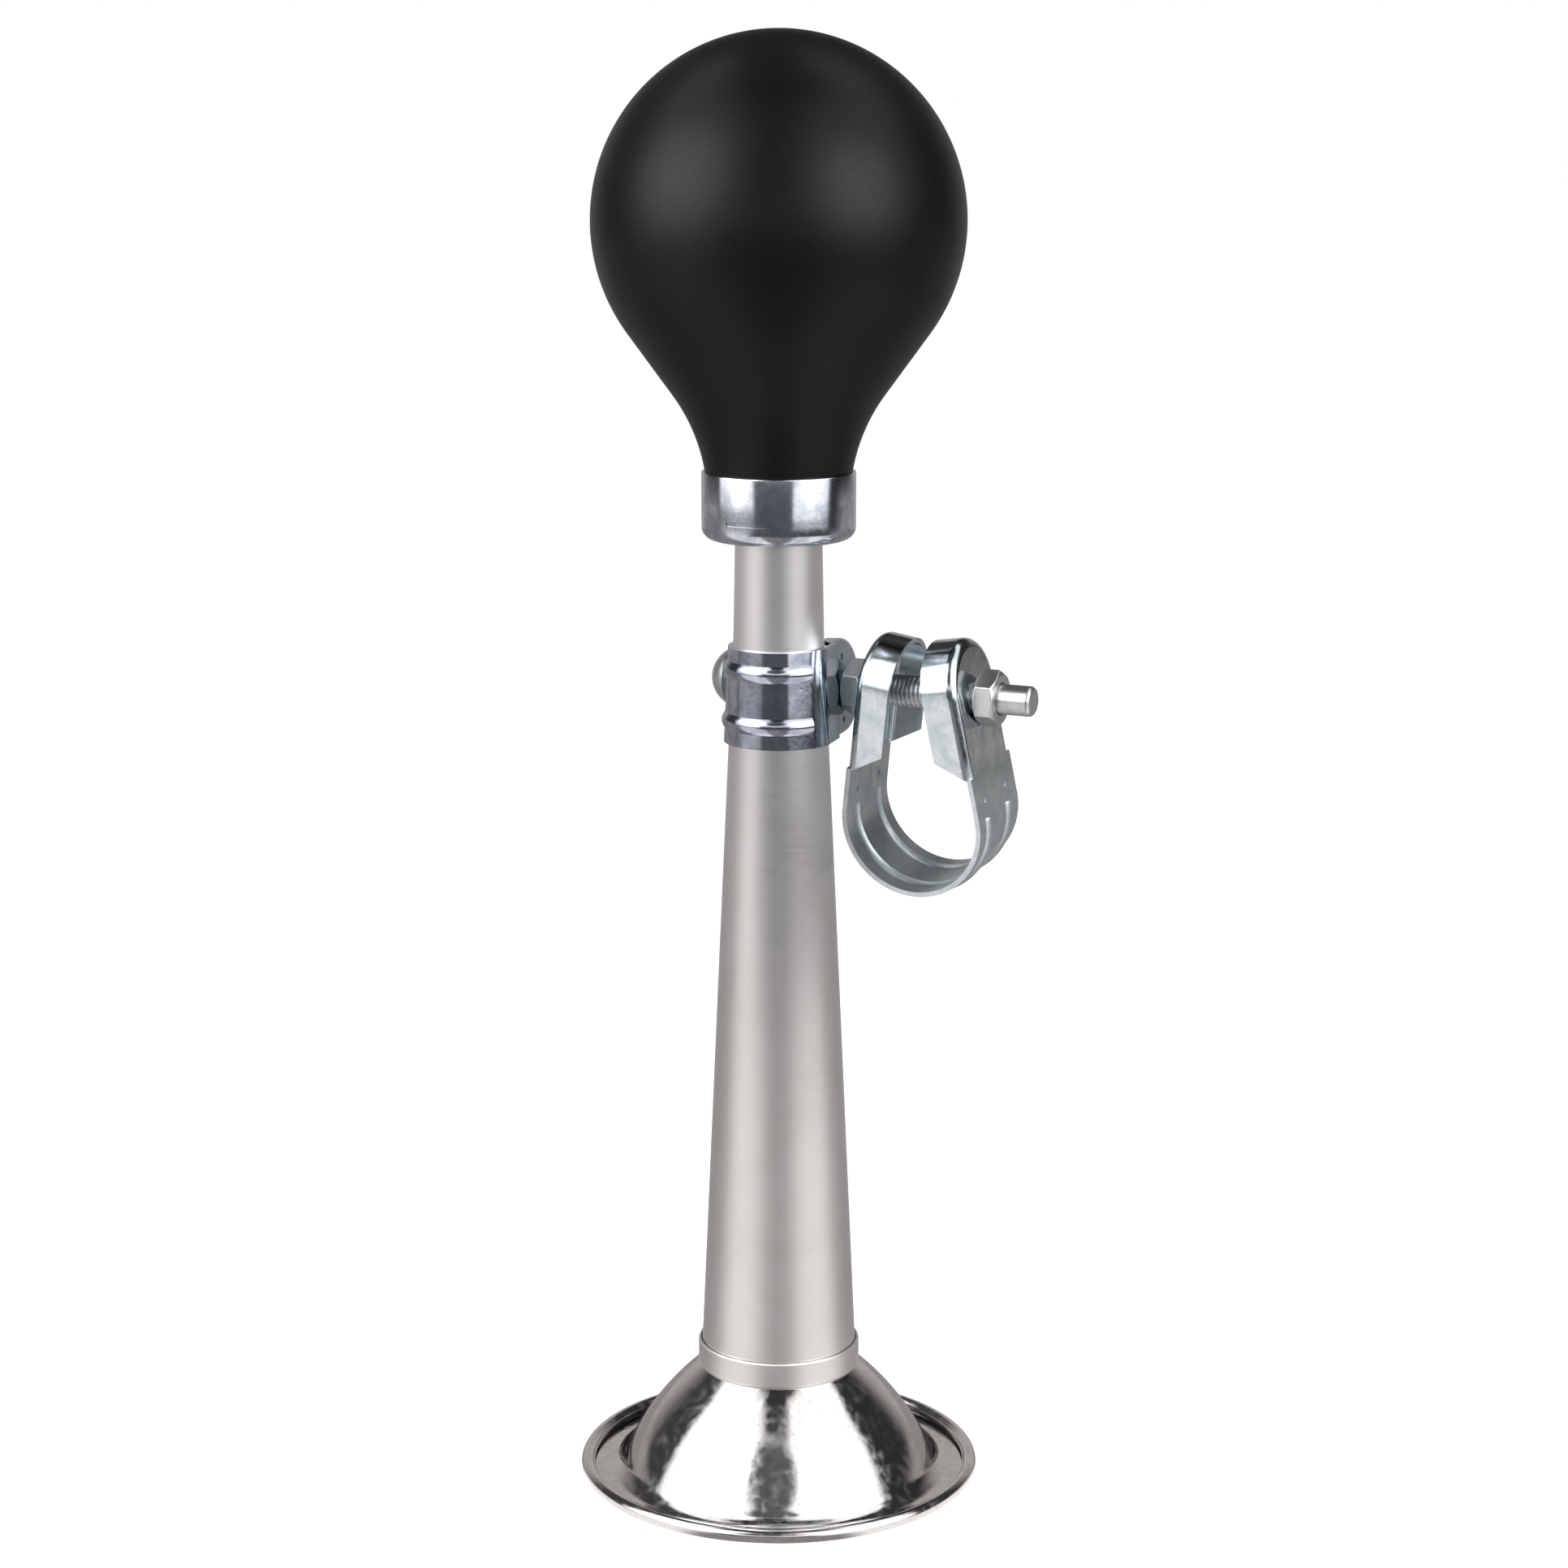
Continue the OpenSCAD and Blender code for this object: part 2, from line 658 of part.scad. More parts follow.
// Strap that holds the handlebar: a ribbed loop and two dished ears that the bolt passes through
module handlebar_strap() {
    rib_end = ear_lean - groove_short;
    color(zinc_colour)
        translate([bar_x, bolt_y, bolt_z])
            rotate([strap_swing, 0, 0])
                difference() {
                    translate([0, 0, -bar_drop])
                        union() {
                            rotate([90, 0, 0]) {
                                rotate([0, 0, 180 - ear_lean])
                                    rotate_extrude(angle = 180 + 2 * ear_lean)
                                        translate([bar_r, -bar_end_r])
                                            square([bar_strap_t, bar_strap_w]);
                                rib_pair(bar_outer_r, 180 - rib_end, 360 + rib_end, 0);
                            }
                            for (side = [0, 1])
                                mirror([side, 0, 0])
                                    bar_wall();
                        }
                    translate([0, 0, -bar_drop])
                        rotate([90, 0, 0])
                            rib_pair(
                                bar_r,
                                180 - rib_end + groove_short,
                                360 + rib_end - groove_short,
                                0
                            );
                    translate([-2 * bar_outer_r, 0, 0])
                        rotate([0, 90, 0])
                            cylinder(r = hole_r, h = 4 * bar_outer_r);
                    for (y = [-rib_offset, rib_offset])
                        translate([-2 * bar_outer_r, y, bar_pilot_rise - bar_drop])
                            rotate([0, 90, 0])
                                cylinder(r = pilot_hole_r, h = 4 * bar_outer_r);
                }
}

bell();
joint_ring();
horn_tube();
bulb_collar();
bulb();
reed_socket();
reed_shallot();
reed_ring();
reed_tongue();
horn_strap();
clamp_bolt();
inner_nut();
handlebar_strap();
outer_nut();
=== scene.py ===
# %% [markdown]
# # A bulb horn for a bicycle
# The horn stands on its bell, with the rubber bulb on top and a strap clamp half way up. The packed
# CAD model is loaded first as a frame: it holds every piece at its real size and place, and the
# bodies that move. The cells below dress that frame. Lengths are named in millimetres, as a maker
# would write them, and turned into Blender's metres by MM.

import json
import math

import bpy
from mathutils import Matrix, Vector

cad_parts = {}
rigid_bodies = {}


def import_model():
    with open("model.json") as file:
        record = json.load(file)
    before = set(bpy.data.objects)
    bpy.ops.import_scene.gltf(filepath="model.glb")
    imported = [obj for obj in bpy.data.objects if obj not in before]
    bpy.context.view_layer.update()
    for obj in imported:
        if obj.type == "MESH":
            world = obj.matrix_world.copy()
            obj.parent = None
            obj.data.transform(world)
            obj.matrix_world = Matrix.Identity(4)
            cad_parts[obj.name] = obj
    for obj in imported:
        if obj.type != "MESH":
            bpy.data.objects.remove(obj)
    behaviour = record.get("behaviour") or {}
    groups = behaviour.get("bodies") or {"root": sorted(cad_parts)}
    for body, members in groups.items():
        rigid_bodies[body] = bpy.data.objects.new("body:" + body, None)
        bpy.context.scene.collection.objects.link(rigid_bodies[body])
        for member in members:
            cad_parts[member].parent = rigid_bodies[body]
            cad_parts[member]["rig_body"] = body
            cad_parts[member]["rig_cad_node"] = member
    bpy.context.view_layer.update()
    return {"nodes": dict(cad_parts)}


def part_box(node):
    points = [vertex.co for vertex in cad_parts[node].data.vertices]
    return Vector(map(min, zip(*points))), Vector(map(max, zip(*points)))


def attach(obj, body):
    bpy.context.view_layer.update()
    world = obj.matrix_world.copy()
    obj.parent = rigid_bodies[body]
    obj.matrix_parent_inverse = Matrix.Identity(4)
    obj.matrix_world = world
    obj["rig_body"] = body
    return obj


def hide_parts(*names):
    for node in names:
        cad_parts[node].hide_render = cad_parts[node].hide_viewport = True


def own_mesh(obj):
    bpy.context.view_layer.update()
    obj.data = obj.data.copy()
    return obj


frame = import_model()
MM = 0.001
MERGE_GAP = 0.002 * MM
print("nodes in the frame:", ", ".join(sorted(frame["nodes"])))


# %% [markdown]
# ## Tools for the whole lesson
# Most of the horn was spun or turned on a lathe, so one helper does the same work here: it draws an
# outline point by point with the extrude operator and turns it with the spin operator. A screw or
# revolve modifier would give the same shape, but spin closes its own seam and leaves a plain mesh.

# %% Deselect, print and finish
def deselect():
    """An operator acts on all that is selected, so each step starts with nothing selected."""
    bpy.ops.object.select_all(action="DESELECT")


def choose(piece):
    deselect()
    piece.select_set(True)
    bpy.context.view_layer.objects.active = piece


def describe(piece):
    low, high = (Vector(corner) for corner in (piece.bound_box[0], piece.bound_box[6]))
    size = [round(side / MM, 2) for side in high - low]
    print(f"{piece.name}: {len(piece.data.polygons)} faces, {size} mm")


def smooth(piece, degrees=32):
    choose(piece)
    bpy.ops.object.shade_smooth_by_angle(angle=math.radians(degrees))


def fit(piece, body, slot, *nodes):
    """Ties a finished piece to its body, in place of its CAD nodes. The slot is not used."""
    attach(piece, body)
    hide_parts(*nodes)
    describe(piece)


# %% Draw an outline and spin it
def arc(centre, radius, start, end, steps):
    """Points along an arc from one angle to another, in degrees."""
    angles = [math.radians(start + (end - start) * i / steps) for i in range(steps + 1)]
    return [(centre[0] + radius * math.cos(a), centre[1] + radius * math.sin(a)) for a in angles]


def turn(name, outline, steps=160, centre=(0, 0, 0), along=(0, 0, 1), out=(1, 0, 0)):
    """Spins an outline of (radius, height) points round the line through centre."""
    along = Vector(along)
    out = Vector(out)
    points = [(out * r + along * h) * MM for r, h in outline]
    deselect()
    bpy.ops.mesh.primitive_plane_add(size=MM, location=centre)
    piece = bpy.context.object
    piece.name = name
    bpy.ops.object.transform_apply(location=True)
    bpy.ops.object.mode_set(mode="EDIT")
    bpy.ops.mesh.merge(type="CENTER")
    bpy.ops.transform.translate(value=points[0])
    for here, there in zip(points, points[1:]):
        bpy.ops.mesh.extrude_vertices_move(TRANSFORM_OT_translate={"value": there - here})
    bpy.ops.mesh.select_all(action="SELECT")
    bpy.ops.mesh.spin(steps=steps, angle=2 * math.pi, center=centre, axis=along)
    close_up()
    bpy.ops.object.mode_set(mode="OBJECT")
    smooth(piece)
    return piece


def close_up():
    """Joins the seam and turns every face outwards, in edit mode."""
    bpy.ops.mesh.select_all(action="SELECT")
    bpy.ops.mesh.remove_doubles(threshold=MERGE_GAP)
    bpy.ops.mesh.normals_make_consistent(inside=False)


# %% [markdown]
# ## Sizes
# These are the sizes that the pieces share.

# %% Sizes from the frame
def low(node, axis):
    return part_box(node)[0][axis] / MM


def high(node, axis):
    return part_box(node)[1][axis] / MM


X, Y, Z = range(3)
sheet = 0.5
joint_gap = 0.03
bell_r = high("bell", X)
tube_foot_z = low("horn_tube", Z)
tube_top_z = high("horn_tube", Z)
tube_foot_r = 12.64
tube_neck_r = 7.13
tube_neck_z = 139
tube_top_r = 6.85
collar_r = high("bulb_collar", X)
collar_z = low("bulb_collar", Z)
collar_top_z = high("bulb_collar", Z)
bulb_r = high("bulb", X)
bulb_z = high("bulb", Z) - bulb_r
bolt_y = (low("outer_nut", Y) + high("outer_nut", Y)) / 2
bolt_z = (low("outer_nut", Z) + high("outer_nut", Z)) / 2
tube_slope = (tube_foot_r - tube_neck_r) / (tube_neck_z - tube_foot_z)
print(f"bell {2 * bell_r:.1f} mm wide, horn {high('bulb', Z):.1f} mm tall, bolt at {bolt_z:.1f} mm")


def tube_r(z):
    return tube_foot_r - tube_slope * (z - tube_foot_z)


# %% [markdown]
# ## The finishes
# The horn shows four metals and one rubber. Each one is a Principled BSDF whose colour, roughness
# and bump come from noise in Object coordinates, so the pattern has its real size in millimetres and
# stays put on the piece. Numbers that are the same all over are set on the shader's own socket.

# %% Helpers for nodes
def node(tree, kind, values=None, **settings):
    """Adds a node. values are its input sockets, by name or place: numbers, or sockets to link."""
    made = tree.nodes.new(kind)
    for key, value in settings.items():
        setattr(made, key, value)
    for key, value in (values or {}).items():
        if isinstance(value, bpy.types.NodeSocket):
            tree.links.new(value, made.inputs[key])
        else:
            made.inputs[key].default_value = value
    return made


def finish(name, **sockets):
    """A material with a Principled BSDF, whose sockets are set by name."""
    material = bpy.data.materials.new(name)
    material.use_nodes = True
    shader = material.node_tree.nodes["Principled BSDF"]
    for key, value in sockets.items():
        shader.inputs[key.replace("_", " ")].default_value = value
    return material, material.node_tree, shader


def noise(tree, grain, detail=3.0, stretch=(1, 1, 1), distortion=0.0):
    """Noise whose lumps are about grain millimetres across, narrowed along an axis by stretch."""
    place = node(tree, "ShaderNodeTexCoord").outputs["Object"]
    scaled = node(tree, "ShaderNodeMapping", {"Vector": place, "Scale": stretch}).outputs[0]
    values = {"Vector": scaled, "Scale": 1 / (grain * MM), "Detail": detail, "Distortion": distortion}
    return node(tree, "ShaderNodeTexNoise", values).outputs["Fac"]


def spread(tree, value, low_in, high_in, low_out, high_out):
    """Spreads part of a noise's range over a new range."""
    values = {0: value, 1: low_in, 2: high_in, 3: low_out, 4: high_out}
    return node(tree, "ShaderNodeMapRange", values).outputs[0]


def blend(tree, share, first, second):
    """Mixes two colours by share."""
    values = {"Factor": share, 6: first, 7: second}
    return node(tree, "ShaderNodeMix", values, data_type="RGBA").outputs[2]


def bump(tree, height, depth, normal=None):
    """A bump of depth millimetres."""
    values = {"Height": height, "Distance": depth * MM, "Strength": 1.0}
    if normal:
        values["Normal"] = normal
    return node(tree, "ShaderNodeBump", values).outputs[0]


def total(tree, first, second):
    return node(tree, "ShaderNodeMath", {0: first, 1: second}).outputs[0]


def place_along(tree, axis):
    """How far along one of its own axes a point of the piece lies, in metres."""
    place = node(tree, "ShaderNodeTexCoord").outputs["Object"]
    return node(tree, "ShaderNodeSeparateXYZ", {0: place}).outputs[axis]


def plug(tree, shader, **sockets):
    for key, value in sockets.items():
        tree.links.new(value, shader.inputs[key.replace("_", " ")])


# %% [markdown]
# ### Chrome
# The bell is a mirror that has aged: its plating is pitted and clouded, which shows where it
# reflects something dark. Pits are made as small rough spots in the roughness, because a painted
# speck would stay dark in a bright reflection, and a rough one does what a real pit does.

# %% Chrome
def make_chrome():
    material, tree, shader = finish("worn_chrome", Metallic=1.0)
    cloud = noise(tree, 7.0, 4.0)
    pits = noise(tree, 0.45, 3.0)
    haze = noise(tree, 1.8, 6.0, distortion=0.3)
    pitted = spread(tree, pits, 0.62, 0.74, 0.0, 1.0)
    clear, clouded, worn = (0.8, 0.785, 0.775, 1), (0.74, 0.715, 0.705, 1), (0.5, 0.475, 0.465, 1)
    colour = blend(tree, spread(tree, cloud, 0.35, 0.7, 0.0, 1.0), clear, clouded)
    colour = blend(tree, pitted, colour, worn)
    hazed = spread(tree, haze, 0.42, 0.7, 0.0, 0.16)
    rough = total(tree, spread(tree, cloud, 0.35, 0.7, 0.07, 0.11), hazed)
    wave = bump(tree, noise(tree, 5.0, 3.0), 0.02)
    plug(tree, shader, Base_Color=colour, Roughness=rough)
    plug(tree, shader, Normal=bump(tree, pitted, 0.003, wave))
    return material


chrome = make_chrome()
print("finish:", chrome.name)


# %% [markdown]
# ### Satin steel
# The tube and its ring were polished on a lathe, so their marks run round them. Such a surface
# smears its reflections along the axis and keeps them sharp across it, which is what the
# Anisotropic socket does with a radial tangent. Fine noise squeezed along Z draws the marks.

# %% Satin steel
def make_satin_steel():
    material, tree, shader = finish("satin_steel", Metallic=1.0, Anisotropic=0.75)
    lines = noise(tree, 2.0, 4.0, (0.6, 0.6, 9.0))
    stains = noise(tree, 12.0, 5.0, distortion=0.6)
    warm = spread(tree, stains, 0.42, 0.7, 0.0, 0.7)
    colour = blend(tree, warm, (0.78, 0.765, 0.76, 1), (0.71, 0.685, 0.67, 1))
    rough = spread(tree, lines, 0.3, 0.7, 0.31, 0.37)
    tangent = node(tree, "ShaderNodeTangent", direction_type="RADIAL", axis="Z").outputs[0]
    plug(tree, shader, Base_Color=colour, Roughness=rough, Tangent=tangent)
    plug(tree, shader, Normal=bump(tree, lines, 0.0012))
    return material


satin_steel = make_satin_steel()
print("finish:", satin_steel.name)


# %% [markdown]
# ### Zinc plate
# The straps and the collar are pressed from zinc-plated sheet, and the bolt and its nuts are plated
# too. Fresh zinc is bluish, and the bath leaves it mottled, so two noises of different size mix three
# near colours. Each piece came from its own batch and has its own set. The horn strap's ears get a
# painted darker teal shade and reflection behind the tube, and the handlebar loop has lost its shine
# low down: two soft masks along the piece's own axes show that, where one material for all would
# look like plastic.

# %% How the zinc is made
# Painted shade and reflection: the darker teal of the horn strap's ears behind the tube.
painted_ear_teal = (0.3, 0.42, 0.45, 1)
ear_shade_from = 0.5
ear_shade_to = 4.0
dull_fade = 3
dull_roughness = 0.26


def make_zinc(name, light, blue, dark, roughness, painted_ear_shade=None, dull_below=None):
    """Mottled zinc. Behind the tube the ears get a painted teal shade and reflection. Under dull_below
    it has lost its shine.
    """
    material, tree, shader = finish(name, Metallic=1.0)
    patches = noise(tree, 3.5, 5.0, distortion=0.8)
    freckles = noise(tree, 0.6, 4.0)
    colour = blend(tree, spread(tree, patches, 0.38, 0.66, 0.0, 1.0), light, blue)
    colour = blend(tree, spread(tree, freckles, 0.58, 0.76, 0.0, 0.7), colour, dark)
    rough = total(tree, spread(tree, patches, 0.3, 0.7, 0.0, 0.06),
                  spread(tree, freckles, 0.35, 0.7, roughness, roughness + 0.05))
    if painted_ear_shade:
        # Painted shade and reflection: the ears turn darker teal behind the tube.
        painted_shade_behind_tube = spread(tree, place_along(tree, "Y"), ear_shade_from * MM, ear_shade_to * MM, 0.0, 0.9)
        colour = blend(tree, painted_shade_behind_tube, colour, painted_ear_shade)
    if dull_below:
        edges = (dull_below - dull_fade) * MM, (dull_below + dull_fade) * MM
        rough = total(tree, rough, spread(tree, place_along(tree, "Z"), *edges, dull_roughness, 0.0))
    plug(tree, shader, Base_Color=colour, Roughness=rough)
    plug(tree, shader, Normal=bump(tree, freckles, 0.002, bump(tree, patches, 0.012)))
    return material


# %% The four batches of zinc
collar_zinc = make_zinc("collar_zinc", (0.67, 0.7, 0.75, 1), (0.44, 0.48, 0.56, 1),
                        (0.36, 0.39, 0.45, 1), 0.09)
# The horn strap's zinc carries the painted teal shade and reflection on its ears.
band_zinc = make_zinc("band_zinc", (0.6, 0.63, 0.7, 1), (0.38, 0.42, 0.52, 1),
                      (0.3, 0.32, 0.38, 1), 0.07, painted_ear_shade=painted_ear_teal)
loop_zinc = make_zinc("loop_zinc", (0.66, 0.7, 0.73, 1), (0.49, 0.57, 0.59, 1),
                      (0.42, 0.47, 0.49, 1), 0.1, dull_below=118)
bolt_steel = make_zinc("dull_zinc", (0.66, 0.66, 0.67, 1), (0.56, 0.57, 0.58, 1),
                       (0.4, 0.38, 0.36, 1), 0.28)
print("finishes:", collar_zinc.name, band_zinc.name, loop_zinc.name, bolt_steel.name)


# %% [markdown]
# ### Rubber and brass
# The bulb is matt black rubber with a fine grain from its mould. The reed's pieces are inside the
# bulb's neck, and shiny brass is enough for them, with the marks of the file that fitted them.

# %% Rubber and brass
def make_rubber():
    material, tree, shader = finish("black_rubber", Specular_IOR_Level=0.17)
    grain = noise(tree, 0.35, 3.0)
    bloom = noise(tree, 14.0, 5.0)
    fresh, dusty = (0.003, 0.003, 0.0034, 1), (0.005, 0.005, 0.0054, 1)
    colour = blend(tree, spread(tree, bloom, 0.35, 0.7, 0.0, 1.0), fresh, dusty)
    rough = spread(tree, grain, 0.3, 0.7, 0.36, 0.44)
    plug(tree, shader, Base_Color=colour, Roughness=rough)
    plug(tree, shader, Normal=bump(tree, grain, 0.02))
    return material


def make_brass():
    material, tree, shader = finish("brass", Metallic=1.0)
    scratches = noise(tree, 1.2, 4.0, (1, 1, 8))
    bright, filed = (0.82, 0.65, 0.33, 1), (0.68, 0.5, 0.24, 1)
    colour = blend(tree, spread(tree, scratches, 0.35, 0.7, 0.0, 1.0), bright, filed)
    plug(tree, shader, Base_Color=colour, Roughness=spread(tree, scratches, 0.3, 0.7, 0.2, 0.36))
    plug(tree, shader, Normal=bump(tree, scratches, 0.006))
    return material


rubber = make_rubber()
brass = make_brass()
print("finishes:", rubber.name, brass.name)


# %% [markdown]
# ## The bell
# The bell is spun from thin sheet: a neck that plugs into the tube, a dome that is one arc, a short
# turn, and a flat flange whose rim is rolled over for stiffness. A solidify modifier could thicken a
# single surface, but the roll would then close on itself. Here the section is drawn with both faces
# of the sheet and spun, so that the roll is hollow and open as the real one is.

# %% Bell
dome_curve_r = 46.7
dome_foot_r = 26.2
dome_foot_slope = 67.5
flange_turn_r = 3.0
roll_r = 1.1
neck_h = 5

slope = math.radians(dome_foot_slope)
dome_centre = (dome_foot_r - dome_curve_r * math.sin(slope), -dome_curve_r * math.cos(slope))
turn_z = sheet + flange_turn_r
turn_rise = turn_z - dome_centre[1]
turn_x = dome_centre[0] + math.sqrt((dome_curve_r + flange_turn_r) ** 2 - turn_rise ** 2)
turn_angle = math.degrees(math.atan2(turn_rise, turn_x - dome_centre[0]))
roll_centre = (bell_r - roll_r, roll_r)
neck_foot_r = tube_r(tube_foot_z) - sheet - joint_gap
neck_head_r = tube_r(tube_foot_z + neck_h) - sheet - joint_gap
neck_angle = math.degrees(math.acos((neck_foot_r - dome_centre[0]) / dome_curve_r))
inner_angle = math.degrees(math.acos((neck_foot_r - sheet - dome_centre[0]) / (dome_curve_r - sheet)))

bell_outline = [(neck_head_r, tube_foot_z + neck_h)]
bell_outline += arc(dome_centre, dome_curve_r, neck_angle, turn_angle, 40)
bell_outline += arc((turn_x, turn_z), flange_turn_r, 180 + turn_angle, 270, 8)[1:]
bell_outline += arc(roll_centre, roll_r - sheet, 270, 540, 20)
bell_outline += arc(roll_centre, roll_r, 540, 270, 28)
bell_outline += arc((turn_x, turn_z), flange_turn_r + sheet, 270, 180 + turn_angle, 8)
bell_outline += arc(dome_centre, dome_curve_r - sheet, turn_angle, inner_angle, 40)[1:]
bell_outline += [(neck_head_r - sheet, tube_foot_z + neck_h), bell_outline[0]]
bell = turn("bell_shell", bell_outline, steps=224)
bell.data.materials.append(chrome)
fit(bell, "horn", "bell_chrome", "bell")


# %% [markdown]
# ## The joint ring and the tube
# A narrow band of sheet covers the place where the bell meets the tube. The tube is a long cone with
# a nearly parallel neck. Cone and cylinder primitives would have no wall, so both pieces are turned
# from a section that has the sheet's two faces. The ring's outer edges get a small round, because an
# edge that was polished on a lathe isn't sharp.

# %% Ring and tube
ring_low = low("joint_ring", Z)
ring_high = high("joint_ring", Z)
ring_outer_r = high("joint_ring", X)
ring_inner_r = tube_foot_r + joint_gap
ring_round = 0.2
ring_outline = [(ring_inner_r, ring_low)]
ring_outline += arc((ring_outer_r - ring_round, ring_low + ring_round), ring_round, 270, 360, 4)
ring_outline += arc((ring_outer_r - ring_round, ring_high - ring_round), ring_round, 0, 90, 4)
ring_outline += [(ring_inner_r, ring_high), ring_outline[0]]
ring = turn("joint_band", ring_outline)
ring.data.materials.append(satin_steel)
fit(ring, "horn", "tube_steel", "joint_ring")

tube_outline = [
    (tube_foot_r - sheet, tube_foot_z),
    (tube_foot_r, tube_foot_z),
    (tube_neck_r, tube_neck_z),
    (tube_top_r, collar_z),
    (tube_top_r, tube_top_z),
    (tube_top_r - sheet, tube_top_z),
    (tube_top_r - sheet, collar_z),
    (tube_neck_r - sheet, tube_neck_z),
    (tube_foot_r - sheet, tube_foot_z)
]
tube = turn("horn_body", tube_outline)
tube.data.materials.append(satin_steel)
fit(tube, "horn", "tube_steel", "horn_tube")


# %% [markdown]
# ## The collar
# The collar is a small pressed cup. Its floor fits round the tube, its lower edge is rounded by the
# press tool, and a short mark is staked into its side to lock it. A bump in the material could draw
# the mark, but wouldn't give it walls that catch the light. So it is made in edit mode: the faces of
# one narrow band are selected by their angle and pushed in.

# %% Collar
collar_edge_r = 2.0
rim_round = 0.22
mark_low = 3.1
mark_high = 3.75
mark_from = -42
mark_to = -10
mark_depth = 0.14

collar_hole_r = tube_top_r + joint_gap
collar_outline = [(collar_hole_r, collar_z)]
collar_outline += arc((collar_r - collar_edge_r, collar_z + collar_edge_r), collar_edge_r, 270, 360, 10)
collar_outline += [(collar_r, collar_z + mark_low), (collar_r, collar_z + mark_high)]
collar_outline += arc((collar_r - rim_round, collar_top_z - rim_round), rim_round, 0, 90, 5)
collar_outline += [(collar_r - sheet, collar_top_z)]
inner_edge = collar_edge_r - sheet
collar_outline += arc((collar_r - collar_edge_r, collar_z + collar_edge_r), inner_edge, 360, 270, 8)
collar_outline += [(collar_hole_r, collar_z + sheet), collar_outline[0]]
collar = turn("collar_cup", collar_outline, steps=180)

camera_turn = 26


def push_in(piece, picks, depth):
    """Pushes the faces that picks chooses into the piece, with walls round the hollow."""
    choose(piece)
    for face in piece.data.polygons:
        face.select = picks(face)
    bpy.ops.object.mode_set(mode="EDIT")
    bpy.ops.mesh.select_mode(type="FACE")
    bpy.ops.mesh.extrude_region_shrink_fatten(TRANSFORM_OT_shrink_fatten={"value": -depth * MM})
    bpy.ops.mesh.select_mode(type="VERT")
    bpy.ops.object.mode_set(mode="OBJECT")


def in_mark(face):
    x, y, z = face.center / MM
    facing = math.degrees(math.atan2(x, -y)) - camera_turn
    height = z - collar_z
    on_side = math.hypot(x, y) > collar_r - sheet / 2
    return on_side and mark_low < height < mark_high and mark_from < facing < mark_to


# The last operator left everything selected, and the marked faces have to be the only ones.
for part in (collar.data.vertices, collar.data.edges, collar.data.polygons):
    part.foreach_set("select", [False] * len(part))
push_in(collar, in_mark, mark_depth)
smooth(collar)
collar.data.materials.append(collar_zinc)
fit(collar, "horn", "zinc", "bulb_collar")


# %% [markdown]
# ## The bulb
# The bulb is moulded rubber: a ball, a straight taper and a hollow curve down to a neck that the
# collar grips. It is hollow, so its outline goes down the outside and back up the inside. Where the
# taper touches the neck's curve isn't guessed but worked out, so that no kink shows.

# %% Bulb
bulb_wall = 2.2
taper_angle = 36
neck_curve_r = 28
spigot_r = 8.7

neck_r = collar_r - sheet - joint_gap
neck_foot_z = collar_z + collar_edge_r
tilt = math.radians(taper_angle)
taper_out = Vector((math.cos(tilt), -math.sin(tilt)))
taper_down = Vector((-math.sin(tilt), -math.cos(tilt)))
taper_start = Vector((0, bulb_z)) + bulb_r * taper_out
to_neck = taper_start + neck_curve_r * taper_out - Vector((neck_r, collar_top_z))
past_neck = to_neck.dot(taper_down)
taper_length = -past_neck - math.sqrt(past_neck ** 2 - to_neck.dot(to_neck) + neck_curve_r ** 2)
curve_centre = taper_start + taper_length * taper_down + neck_curve_r * taper_out
curve_end = math.degrees(math.atan2(collar_top_z - curve_centre[1], neck_r - curve_centre[0])) % 360
inside_r = neck_curve_r + bulb_wall
inside_end = 180 - math.degrees(math.asin((collar_top_z - curve_centre[1]) / inside_r))

bulb_outline = arc((0, bulb_z), bulb_r, 90, -taper_angle, 72)
bulb_outline += arc(curve_centre, neck_curve_r, 180 - taper_angle, curve_end, 24)
bulb_outline += [(neck_r, neck_foot_z), (spigot_r + joint_gap, neck_foot_z)]
bulb_outline += [(spigot_r + joint_gap, collar_top_z)]
bulb_outline += arc(curve_centre, inside_r, inside_end, 180 - taper_angle, 16)
bulb_outline += arc((0, bulb_z), bulb_r - bulb_wall, -taper_angle, 90, 40)
bulb = turn("rubber_bulb", bulb_outline, steps=192)
bulb.data.materials.append(rubber)
fit(bulb, "horn", "bulb_rubber", "bulb")
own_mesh(bulb)


# %% [markdown]
# ## The straps
# Both straps are pressed from sheet with turned edges and stiffening ribs. They could be drawn again
# as planes bent round a path, but their shape is already right in the CAD model. The horn strap is a
# mirror whose clean CAD normals reflect best, so it stays and only gets its finish. The handlebar
# strap's cut edges face the camera, and a real sheet edge catches the light, so a copy of it is
# merged, cleaned of its triangles and given a small bevel.

# %% Copy a CAD piece and soften its edges
flat_angle = 0.5


